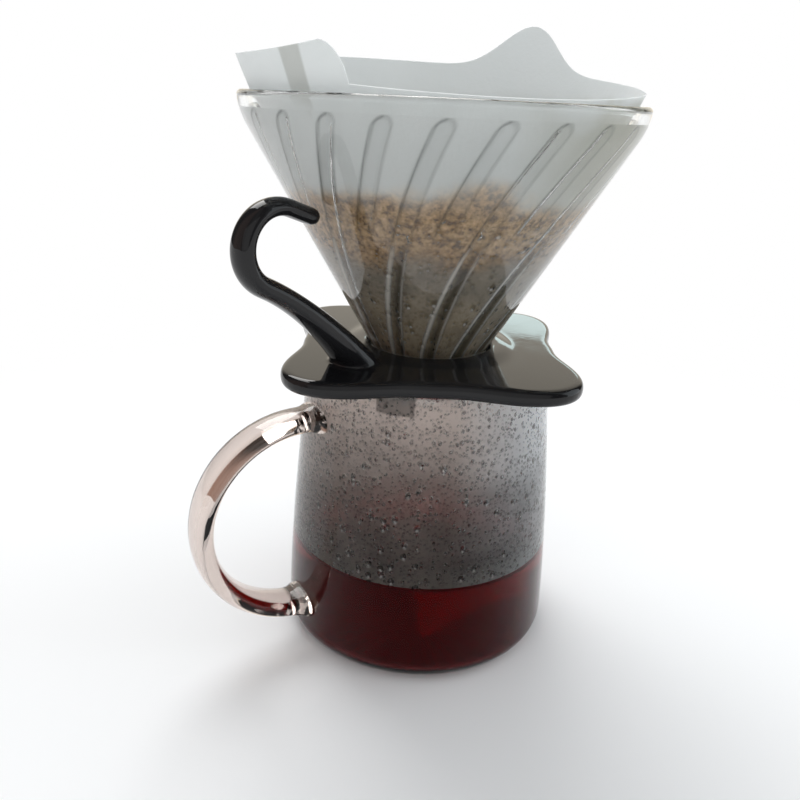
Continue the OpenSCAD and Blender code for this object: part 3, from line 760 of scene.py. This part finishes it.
# %% Centring tabs
TAB_DEPTH, TAB_T, TAB_ANGLE, TAB_TURN, TAB_GAP = 7.5, 2.5, 19.0, 28.0, 1.0
TAB_ROOT, TAB_CHAMFER = 1.0, 0.5
tab_out = MOUTH_R - WALL - TAB_GAP
tab_in, tab_root, tab_end = tab_out - TAB_T, PLATE_Z + TAB_ROOT, PLATE_Z - TAB_DEPTH
tab_section = [
    (tab_in, tab_root), (tab_in, tab_end + TAB_CHAMFER), (tab_in + TAB_CHAMFER, tab_end),
    (tab_out - TAB_CHAMFER, tab_end), (tab_out, tab_end + TAB_CHAMFER), (tab_out, tab_root),
]
tabs = []
for k in range(LOBE_COUNT):
    middle = TAB_TURN + k * 360 / LOBE_COUNT
    rings = []
    for a in between(middle - TAB_ANGLE / 2, middle + TAB_ANGLE / 2, 8):
        way = Vector((*spoke(a), 0))
        rings.append([way * r + Vector((0, 0, z)) for r, z in tab_section])
    tabs.append(sweep(f"centring_tab_{k}", rings))

# %% Join and soften the moulding
VOXEL, SOFTEN = 0.45, 14


def apply_modifier(piece, kind, **settings):
    bpy.context.view_layer.objects.active = piece
    modifier = piece.modifiers.new(kind.title(), kind)
    for key, value in settings.items():
        setattr(modifier, key, value)
    bpy.ops.object.modifier_apply(modifier=modifier.name)


def turn_dripper(piece):
    """Turns a piece of the dripper about the axis to where the dripper stands on the carafe."""
    pick(piece)
    piece.rotation_euler.z = radians(DRIPPER_TURN)
    bpy.ops.object.transform_apply(rotation=True)


pick(hook, *tabs, base)
bpy.ops.object.join()
apply_modifier(base, "REMESH", mode="VOXEL", voxel_size=VOXEL * MM, adaptivity=0.0)
apply_modifier(base, "SMOOTH", factor=0.5, iterations=SOFTEN)
turn_dripper(base)
bpy.ops.object.shade_smooth()
print("base", len(base.data.polygons), "faces")

# %% [markdown]
# ## Black plastic
# Glossy black plastic is nearly all reflection. The little that tells it from black glass is a fine orange-peel of
# the moulding, and patches where wiping has dulled the gloss.

# %% Black plastic finish
black_plastic, tree, shader, place = new_finish("black_gloss_plastic")
worn = ramp(tree, noise_value(tree, place, 90, 5, 0.6), [(0.35, 0.025), (0.8, 0.1)])
tone = ramp(tree, noise_value(tree, place, 25, 2), [(0.3, (0.006, 0.006, 0.007)), (0.7, (0.012, 0.012, 0.013))])
peel = bumps(tree, noise_value(tree, place, 500, 2), 0.04, 0.2)
set_inputs(shader, Base_Color=tone, Roughness=worn, Normal=peel, IOR=1.5, Specular_IOR_Level=0.3)
give(base, black_plastic)
settle(base, "dripper", "black_plastic", "dripper_base")

# %% [markdown]
# ## Gasket and retaining ring
# A soft ring seals the glass against the plate, and a ring from below holds the neck by its lugs. Both are spun. The
# retaining ring gets its finger grooves and the ways for the lugs by moving corners in and out.

# %% Retaining ring
GROOVES, GROOVE_R, KEY_ANGLE = 18, 1.2, LUG_ANGLE + 8
RING_COLUMNS, GASKET_COLUMNS, GROOVE_SHARE = 360, 120, 0.8
ring_r, bore_r, chamfer, groove_land = ring_top.x, NECK_R + FIT_GAP, 0.5, 2.5
low_face, top_face = ring_low.z, ring_top.z
ring_outline = [
    (bore_r, low_face + chamfer), (bore_r + chamfer, low_face), (ring_r - groove_land, low_face),
    (ring_r - chamfer, low_face), (ring_r, low_face + chamfer), (ring_r, top_face - chamfer),
    (ring_r - chamfer, top_face), (ring_r - groove_land, top_face), (bore_r + chamfer, top_face),
    (bore_r, top_face - chamfer),
]
ring = lathe("neck_retaining_ring", ring_outline, RING_COLUMNS)
for corner in ring.data.vertices:
    x, y, z = corner.co / MM
    r, a = hypot(x, y), degrees(atan2(y, x))
    if r > ring_r - 1:
        aside = radians((a * GROOVES / 360 + 0.5) % 1 * 360 / GROOVES - 180 / GROOVES) * ring_r
        r -= sqrt(max(0, GROOVE_R**2 - aside**2)) * GROOVE_SHARE
    elif r < bore_r + 1:
        r += LUG_H if abs(a % 120 - 60) < KEY_ANGLE / 2 else 0
    corner.co = Vector((r * cos(radians(a)), r * sin(radians(a)), z)) * MM
turn_dripper(ring)
bpy.ops.object.shade_smooth_by_angle(angle=radians(35))
give(ring, black_plastic)
settle(ring, "ring", "black_plastic", "retaining_ring")

# %% Gasket
gasket_in, gasket_out, soft = NECK_R + 0.1, gasket_top.x, 0.3
gasket = lathe(
    "neck_gasket",
    arc(gasket_out - soft, gasket_top.z - soft, soft, 90, 0, 4)
    + arc(gasket_out - soft, gasket_low.z + soft, soft, 0, -90, 4)
    + arc(gasket_in + soft, gasket_low.z + soft, soft, -90, -180, 4)
    + arc(gasket_in + soft, gasket_top.z - soft, soft, 180, 90, 4),
    GASKET_COLUMNS,
)
silicone, tree, shader, place = new_finish("grey_silicone")
milky = ramp(tree, noise_value(tree, place, 120, 3), [(0.3, (0.42, 0.42, 0.41)), (0.7, (0.5, 0.5, 0.49))])
set_inputs(shader, Base_Color=milky, Roughness=0.5, Specular_IOR_Level=0.35)
give(gasket, silicone)
settle(gasket, "dripper", "silicone", "cone_gasket")

# %% [markdown]
# ## The paper filter
# The filter is one piece of crimped paper, folded to a cone along a seam. It stands above the rim, flared, highest at
# the seam and at the fold across from it. Wet paper hardly moves, so no cloth is let fall: the sheet is spun as a
# thin cone, its upper corners are stretched to the real edge, and a thickness is added last.

# %% Shape the paper
PAPER_T, PAPER_GAP, PAPER_TIP_R, PAPER_FLARE = 0.3, 0.4, 4.5, 0.42
PAPER_RISE, PAPER_TILT, TILT_ANGLE = 6.0, 5.5, 75.0
SEAM_EAR, SEAM_ANGLE, SEAM_BEFORE, SEAM_AFTER = 8.5, 208.0, 36.0, 6.0
FOLD_EAR, FOLD_ANGLE, FOLD_HALF = 14.0, 29.0, 13.0
SAG, SAG_WAVES, SAG_LENGTH = 0.7, 2.2, 40
PAPER_COLUMNS, PAPER_ROWS, EDGE_STEPS = 720, 30, 14
paper_rim_r = RIM_R - CONE_WALL - 2 * PAPER_GAP
paper_low_r = CONE_FOOT_R - (CONE_WALL + RIB_H) / cos(cone_angle) - PAPER_GAP
paper_slope = (paper_rim_r - paper_low_r) / CONE_RISE
paper_depth = (paper_rim_r - PAPER_TIP_R) / paper_slope


def paper_radius(depth):
    return paper_rim_r - depth * (paper_slope if depth > 0 else PAPER_FLARE)


def turn_from(a, middle):
    """Signed turn from one angle to another, within half a circle."""
    return (a - middle + 180) % 360 - 180


def paper_edge(a):
    """Height of the paper's top edge over the rim."""
    s, f = turn_from(a, SEAM_ANGLE), turn_from(a, FOLD_ANGLE)
    seam = exp(s / SEAM_BEFORE) if s < 0 else sqrt(max(0, 1 - (s / SEAM_AFTER) ** 2))
    tilt = PAPER_TILT * cos(radians(a - TILT_ANGLE))
    return PAPER_RISE + tilt + SEAM_EAR * seam + FOLD_EAR * exp(-((f / FOLD_HALF) ** 2))


_, paper_top = node_box("paper_filter")
below_rim = [(paper_radius(d), RIM_Z - d) for d in between(paper_depth, 0, PAPER_ROWS)]
above_rim = [(paper_rim_r, RIM_Z + i) for i in range(1, EDGE_STEPS + 1)]
paper_outline = [(0, RIM_Z - paper_depth), *below_rim, *above_rim]
paper = lathe("paper_cone", paper_outline, PAPER_COLUMNS, closed=False)
for corner in paper.data.vertices:
    x, y, z = corner.co / MM
    r, a = hypot(x, y), atan2(y, x)
    if z > RIM_Z:
        depth = -paper_edge(degrees(a)) * (z - RIM_Z) / EDGE_STEPS
        r, z = paper_radius(depth), RIM_Z - depth
    sag = noise.noise(Vector((cos(a) * SAG_WAVES, sin(a) * SAG_WAVES, z / SAG_LENGTH))) - 0.5
    r += min(0, SAG * sag) if r > 2 * PAPER_TIP_R else 0
    corner.co = Vector((r * cos(a), r * sin(a), min(z, paper_top.z))) * MM
pick(paper)
apply_modifier(paper, "SOLIDIFY", thickness=PAPER_T * MM, offset=-1.0)
bpy.ops.object.shade_smooth_by_angle(angle=radians(50))
print("paper", len(paper.data.polygons), "faces, edge from", round(min(paper_edge(a) for a in range(360)), 1))

# %% [markdown]
# ## Paper, dry and wet
# Dry, the paper is pale with soft fibres and a darker strip of painted shade where the seam doubles it. Where the
# grounds washed up it is stained brown with specks. Lower down it is soaked through and shows the dark bed behind it,
# and painted light brightens its lowest part. Below the rim it turns warmer and darker towards the window side.
# Painting an image would fix the stain to one size, so height on the piece sets which of the three shows, and noise
# frays the border.

# %% Filter paper finish
DRY, DRY_SHADE = (0.64, 0.66, 0.66), (0.6, 0.625, 0.62)
STAIN, STAIN_DARK, STAIN_PALE = (0.53, 0.325, 0.14), (0.17, 0.09, 0.038), (0.8, 0.545, 0.29)
STAIN_LOW = (0.72, 0.66, 0.6, 1)
# The last soaked colour is painted light for the lowest paper, which the plate shades.
SOAKED, SOAKED_DARK, SOAKED_PAINTED_LIGHT = (0.39, 0.322, 0.236), (0.21, 0.17, 0.122), (1.6, 1.55, 1.43, 1)
# This tone makes the paper below the rim warmer and darker towards the window side.
WARM_SIDE_TONE = (0.72, 0.7, 0.62, 1)
LAP_FROM, LAP_TO, LAP_SHADE, LAP_SHARE = 13.0, 6.0, (0.68, 0.67, 0.64, 1), 0.75
STAIN_TOP, STAIN_END, FRAY = RIM_Z - 23.0, RIM_Z - 40.0, 5.0
filter_paper, tree, shader, place = new_finish("filter_paper")
fibre = noise_value(tree, place, 700, 4, 0.65)
cloud = noise_value(tree, place, 45, 3)
dry = mix_colour(tree, cloud, (*DRY_SHADE, 1), (*DRY, 1))
speck = noise_value(tree, place, 560, 5, 0.7)
stain = ramp(tree, speck, [(0.38, STAIN_DARK), (0.5, STAIN), (0.66, STAIN_PALE)])
soaked = ramp(tree, noise_value(tree, place, 130, 5, 0.65), [(0.35, SOAKED_DARK), (0.7, SOAKED)])
parts = add_node(tree, "SeparateXYZ", Vector=place).outputs
fraying = times(tree, minus(tree, cloud, 0.5), 4 * FRAY * MM)
frayed = math_node(tree, "ADD", parts["Z"], fraying)


def over(level, soft):
    """0 below a level and 1 above it, over a soft border."""
    return span(tree, frayed, (level - soft / 2) * MM, (level + soft / 2) * MM, curve="SMOOTHSTEP")


# Painted light: the lowest soaked paper is brightened where the plate's shadow falls.
soaked = mix_colour(tree, over(STAIN_END - 16, 20.0), toned(tree, soaked, SOAKED_PAINTED_LIGHT), soaked)
stain = mix_colour(tree, over(STAIN_END + 4, 12.0), toned(tree, stain, STAIN_LOW), stain)
wet = mix_colour(tree, over(STAIN_END, 7.0), soaked, stain)
colour = mix_colour(tree, over(STAIN_TOP, 10.0), wet, dry)
# Below the rim the paper is made warmer and darker towards the window side.
warm_side = add_node(tree, "VectorMath", {"operation": "DOT_PRODUCT"}, _0=place, _1=WINDOW_SIDE).outputs["Value"]
warm_side = span(tree, warm_side, 0.3 * paper_rim_r * MM, 0.8 * paper_rim_r * MM)
warm_side = times(tree, warm_side, minus(tree, 1.0, over(RIM_Z - 2, 8.0)))
colour = mix_colour(tree, warm_side, colour, toned(tree, colour, WARM_SIDE_TONE))
turn = math_node(tree, "ARCTAN2", parts["Y"], parts["X"])
lap_start, lap_end = (
    span(tree, turn, radians(SEAM_ANGLE - a - 360.4), radians(SEAM_ANGLE - a - 359.6)) for a in (LAP_FROM, LAP_TO)
)
# The seam's doubled strip is painted shade: darker where two layers let less light through.
lap = times(tree, minus(tree, lap_start, lap_end), over(RIM_Z - 2, 8.0))
colour = mix_colour(tree, times(tree, lap, LAP_SHARE), colour, toned(tree, colour, LAP_SHADE))
crimp = bumps(tree, fibre, 0.25, 0.3)
dampness = mix_colour(tree, over(STAIN_TOP, 6.0), (0.3, 0.3, 0.3, 1), (0.85, 0.85, 0.85, 1))
set_inputs(shader, Base_Color=colour, Roughness=dampness, Normal=crimp, Specular_IOR_Level=0.3)
set_inputs(shader, Subsurface_Weight=over(STAIN_TOP, 6.0), Subsurface_Radius=(1, 1, 1), Subsurface_Scale=0.0008)
give(paper, filter_paper)
settle(paper, "filter", "filter_paper", "paper_filter")

# %% [markdown]
# ## The grounds
# The wet grounds lie in the cone as a crater: a crust high up on the paper and a loose bed in the middle. Thousands
# of grains would be slow and hardly seen, so a crater is spun with fine faces, and noise lifts its corners.

# %% Heap the grounds
bed_low, bed_top = node_box("coffee_bed")
CRUST_DEPTH, BED_DEPTH, CRUST_T, CRUST_SHARE = RIM_Z - bed_top.z, 52.0, 2.5, 0.6
BED_GAP, BED_COLUMNS = 0.35, 240
CLUMP_SIZE, CLUMP_LIFT, GRAIN_SIZE, GRAIN_LIFT = 5, 1.0, 1.6, 0.55
inset = PAPER_T + BED_GAP
tip_depth = RIM_Z - bed_low.z
wall_depth = CRUST_DEPTH + (BED_DEPTH - CRUST_DEPTH) * CRUST_SHARE
wall_in, half_in = paper_radius(wall_depth) - inset - CRUST_T, paper_radius(wall_depth) / 2
crust_r, crust_fall, bed_fall = paper_radius(CRUST_DEPTH) - inset, wall_depth - CRUST_DEPTH, BED_DEPTH - wall_depth
bed_rows = [(0, tip_depth)] + [(paper_radius(d) - inset - BED_GAP, d) for d in between(tip_depth, CRUST_DEPTH, 36)]
for t in between(0, 1, 16)[1:]:
    bed_rows.append((crust_r - BED_GAP + (wall_in - crust_r) * t, CRUST_DEPTH + crust_fall * t))
for t in between(0, 1, 18)[1:]:
    bed_rows.append((wall_in + (half_in - wall_in) * t, wall_depth + bed_fall / 2 * t))
for t in between(0, 1, 20)[1:]:
    bed_rows.append((half_in * (1 - t), wall_depth + bed_fall * (1 + t) / 2))
grounds = lathe("coffee_grounds_bed", [(r, RIM_Z - d) for r, d in bed_rows], BED_COLUMNS)
for corner in grounds.data.vertices:
    x, y, z = corner.co / MM
    r, depth = hypot(x, y), RIM_Z - z
    if r < paper_radius(depth) - inset - 1 and depth < BED_DEPTH + 1:
        spot = Vector((x, y, z))
        lift = noise.noise(spot / CLUMP_SIZE) * CLUMP_LIFT + noise.noise(spot / GRAIN_SIZE) * GRAIN_LIFT
        corner.co.z = min(corner.co.z + lift * MM, bed_top.z * MM)

# %% Finish of the grounds
grounds_finish, tree, shader, place = new_finish("wet_coffee_grounds")
grain = noise_value(tree, place, 650, 5, 0.7)
brown = ramp(tree, grain, [(0.32, (0.02, 0.011, 0.006)), (0.52, (0.07, 0.037, 0.018)), (0.72, (0.19, 0.11, 0.055))])
wetness = ramp(tree, noise_value(tree, place, 200, 3), [(0.35, 0.25), (0.65, 0.7)])
crumb = bumps(tree, grain, 0.8, 0.8)
set_inputs(shader, Base_Color=brown, Roughness=wetness, Normal=crumb, Specular_IOR_Level=0.4)
give(grounds, grounds_finish)
settle(grounds, "filter", "coffee_grounds", "coffee_bed")

# %% [markdown]
# ## Stage and light
# Clear glass on white needs something dark to draw its edges, so the surroundings that glass and gloss can see are a
# room: a tan wall behind, a cool window on the right, and dark and rosy cards between. The camera itself sees plain
# white. The floor is pale, takes the shadow and runs out to white.

# %% Floor
scene = bpy.context.scene
scene.view_settings.view_transform = "Standard"
FLOOR_R, FADE_FROM, FADE_TO = 6.0, 0.1, 0.34
pick()
bpy.ops.mesh.primitive_circle_add(vertices=96, radius=FLOOR_R, fill_type="NGON")
floor = bpy.context.object
floor.name = "pale_floor"
floor_finish, tree, shader, place = new_finish("pale_floor")
flat_place = add_node(tree, "VectorMath", {"operation": "MULTIPLY"}, _0=place, _1=(1, 1, 0))
distance = add_node(tree, "VectorMath", {"operation": "LENGTH"}, _0=flat_place.outputs["Vector"]).outputs["Value"]
fade = span(tree, distance, FADE_FROM, FADE_TO, curve="SMOOTHSTEP")
white = add_node(tree, "Emission", Color=(1, 1, 1, 1), Strength=1.0)
blend = add_node(tree, "MixShader", _0=fade, _1=shader.outputs["BSDF"], _2=white.outputs["Emission"])
tree.links.new(blend.outputs["Shader"], tree.nodes["Material Output"].inputs["Surface"])
set_inputs(shader, Base_Color=(0.93, 0.93, 0.93, 1), Roughness=0.9, Specular_IOR_Level=0.1)
give(floor, floor_finish)

# %% Room
scene.world = bpy.data.worlds.new("studio")
scene.world.use_nodes = True
tree = scene.world.node_tree
sky = tree.nodes["Background"]
path = add_node(tree, "LightPath")
around = add_node(tree, "TexCoord").outputs["Generated"]
bearing = add_node(tree, "TexGradient", {"gradient_type": "RADIAL"}, Vector=around).outputs["Fac"]
DARK_CARD, TAN_WALL, ROSY_CARD, COOL_WINDOW, ROOM = (
    (0.05, 0.04, 0.035), (1.0, 0.92, 0.78), (0.4, 0.27, 0.22), (0.4, 0.44, 0.45), (0.22, 0.21, 0.2)
)
room_round = [
    (-180, ROSY_CARD), (-160, DARK_CARD), (-140, ROOM), (-105, ROOM), (-80, DARK_CARD), (-60, DARK_CARD),
    (-45, COOL_WINDOW), (-20, COOL_WINDOW), (-5, DARK_CARD), (15, DARK_CARD), (30, TAN_WALL), (85, TAN_WALL),
    (105, DARK_CARD), (125, DARK_CARD), (145, ROSY_CARD), (180, ROSY_CARD),
]
cards = ramp(tree, bearing, [(0.5 + degree / 360, colour) for degree, colour in room_round])
lamp_glow = (0.55, 0.56, 0.57, 1)
seen = math_node(tree, "MAXIMUM", path.outputs["Is Glossy Ray"], path.outputs["Is Transmission Ray"])
shown = mix_colour(tree, seen, lamp_glow, cards)
backdrop = mix_colour(tree, path.outputs["Is Camera Ray"], shown, (1, 1, 1, 1))
tree.links.new(backdrop, sky.inputs["Color"])
sky.inputs["Strength"].default_value = 1.0
print("cards round the room:", len(room_round))

# %% Lamps
LAMP_AIM = Vector((0, 0, 0.09))


def softbox(name, bearing_deg, distance_m, height_m, width_m, tall_m, watts, tint=(1, 1, 1)):
    """A soft lamp that stands on a bearing round the object and points at it."""
    lamp = bpy.data.lights.new(name, "AREA")
    lamp.shape, lamp.size, lamp.size_y, lamp.energy, lamp.color = "RECTANGLE", width_m, tall_m, watts, tint
    stand = bpy.data.objects.new(name, lamp)
    scene.collection.objects.link(stand)
    a = radians(bearing_deg)
    stand.location = (distance_m * cos(a), distance_m * sin(a), height_m)
    stand.rotation_euler = (LAMP_AIM - stand.location).to_track_quat("-Z", "Y").to_euler()
    print(name, "at", [round(v, 2) for v in stand.location])


softbox("key_softbox", 80, 0.7, 1.0, 0.8, 0.8, 9.0)
softbox("front_softbox", 235, 1.6, 0.85, 3.0, 1.6, 6.5)
softbox("window_softbox", 335, 1.0, 0.45, 0.9, 0.9, 3.0, (0.88, 0.95, 1))
softbox("low_window", 47, 1.5, 0.47, 0.5, 0.1, 0.35, (0.72, 0.97, 1))

# %% [markdown]
# ## Camera
# The camera stands close, level with the cone's rim, and looks down at the carafe with a slight tilt of the hand.

# %% Place the camera
CAMERA_DISTANCE, CAMERA_DROP, CAMERA_BEARING = 236.3, 0.6, -33.0
HEADING, PITCH, ROLL, LENS = 2.02, 21.29, 2.62, 34.81
camera = bpy.data.objects.new("camera", bpy.data.cameras.new("camera"))
scene.collection.objects.link(camera)
scene.camera = camera
camera.data.lens, camera.data.sensor_width = LENS, 36.0
camera.data.clip_start = 0.01
stand = Matrix.Rotation(radians(CAMERA_BEARING), 4, "Z") @ Vector((0, -CAMERA_DISTANCE, RIM_Z - CAMERA_DROP))
camera.matrix_world = (
    Matrix.Translation(stand * MM)
    @ Matrix.Rotation(radians(CAMERA_BEARING + HEADING), 4, "Z")
    @ Matrix.Rotation(radians(90 - PITCH), 4, "X")
    @ Matrix.Rotation(radians(ROLL), 4, "Z")
)
print("camera at", [round(v, 4) for v in camera.location])
